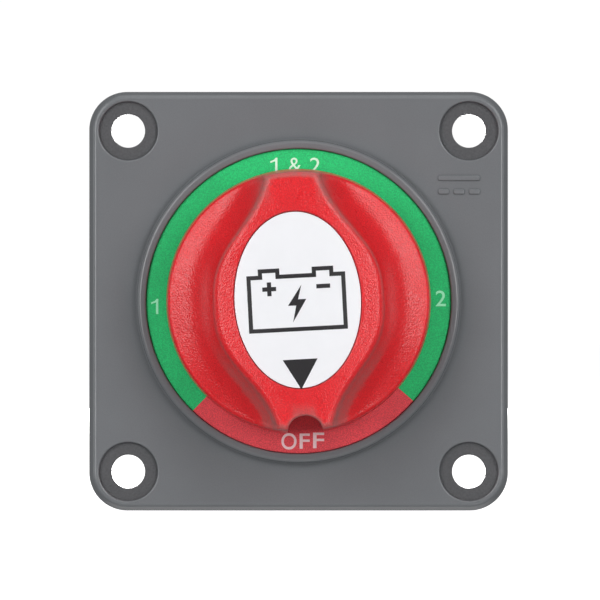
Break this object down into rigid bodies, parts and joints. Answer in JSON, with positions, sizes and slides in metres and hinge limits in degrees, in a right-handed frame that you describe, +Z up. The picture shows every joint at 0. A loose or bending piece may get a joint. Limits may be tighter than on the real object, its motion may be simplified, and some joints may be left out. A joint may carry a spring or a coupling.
{
  "type": "rotary battery selector switch",
  "caption": "Panel-mount rotary battery selector for boats: square flange, turning red grip knob with pointer over a printed dial, sealed body and rear cable studs.",
  "frame": {"origin": "middle of the whole switch's box, on the knob's axis; the flange's mounting face is 10.75 mm in front of it, at y = -0.01075", "axes": "+Z is up on the panel, towards the both-batteries mark; -Y is out of the panel towards the user, along the knob's axis; +X is to the user's right, towards the mark for the second battery"},
  "size_m": [0.08, 0.0764, 0.08],
  "materials": {
    "housing_grey": "moulded glass-filled nylon with a fine grain",
    "label_green": "printed ring, green with a red off sector and pale lettering",
    "base_black": "black glass-filled nylon",
    "rotor_black": "black acetal",
    "seal_rubber": "soft nitrile rubber",
    "knob_red": "red moulded plastic, satin on top and grained in the scoops",
    "badge_white": "white plate with printed black symbols",
    "stainless": "stainless steel",
    "spring_steel": "drawn spring wire",
    "tinned_copper": "tin plate over copper",
    "contact_copper": "rolled copper"
  },
  "bodies": {
    "switch_body": {"housing": "housing_grey", "dial_label": "label_green", "base": "base_black", "base_seal": "seal_rubber", "detent_spring_1": "spring_steel", "detent_spring_2": "spring_steel", "base_screw_1": "stainless", "base_screw_2": "stainless", "base_screw_3": "stainless", "base_screw_4": "stainless", "contact_plate_common": "contact_copper", "terminal_stud_common": "tinned_copper", "flat_washer_common": "stainless", "lock_washer_common": "stainless", "terminal_nut_common": "stainless", "contact_plate_1": "contact_copper", "terminal_stud_1": "tinned_copper", "flat_washer_1": "stainless", "lock_washer_1": "stainless", "terminal_nut_1": "stainless", "contact_plate_2": "contact_copper", "terminal_stud_2": "tinned_copper", "flat_washer_2": "stainless", "lock_washer_2": "stainless", "terminal_nut_2": "stainless"},
    "rotor": {"knob": "knob_red", "knob_badge": "badge_white", "knob_screw": "stainless", "rotor": "rotor_black", "spindle_seal": "seal_rubber", "contact_spring_1": "spring_steel", "contact_spring_2": "spring_steel"},
    "contact_bridge": {"contact_bridge": "contact_copper"},
    "detent_ball_1": {"detent_ball_1": "stainless"},
    "detent_ball_2": {"detent_ball_2": "stainless"}
  },
  "joints": [
    {"name": "knob_turn", "type": "hinge", "parent": "switch_body", "child": "rotor", "pos_m": [0, 0, 0], "axis": [0, 1, 0], "continuous": true},
    {"name": "contact_lift", "type": "slide", "parent": "rotor", "child": "contact_bridge", "axis": [0, -1, 0], "range_m": [0, 0.0008], "stiffness_N_per_m": 1500, "springref_m": -0.001, "deforming": ["contact_spring_1", "contact_spring_2"]},
    {"name": "detent_1_slide", "type": "slide", "parent": "switch_body", "child": "detent_ball_1", "axis": [1, 0, 0], "range_m": [0, 0.0005], "stiffness_N_per_m": 150, "springref_m": -0.004, "deforming": ["detent_spring_1"]},
    {"name": "detent_2_slide", "type": "slide", "parent": "switch_body", "child": "detent_ball_2", "axis": [-1, 0, 0], "range_m": [0, 0.0005], "stiffness_N_per_m": 150, "springref_m": -0.004, "deforming": ["detent_spring_2"]}
  ]
}
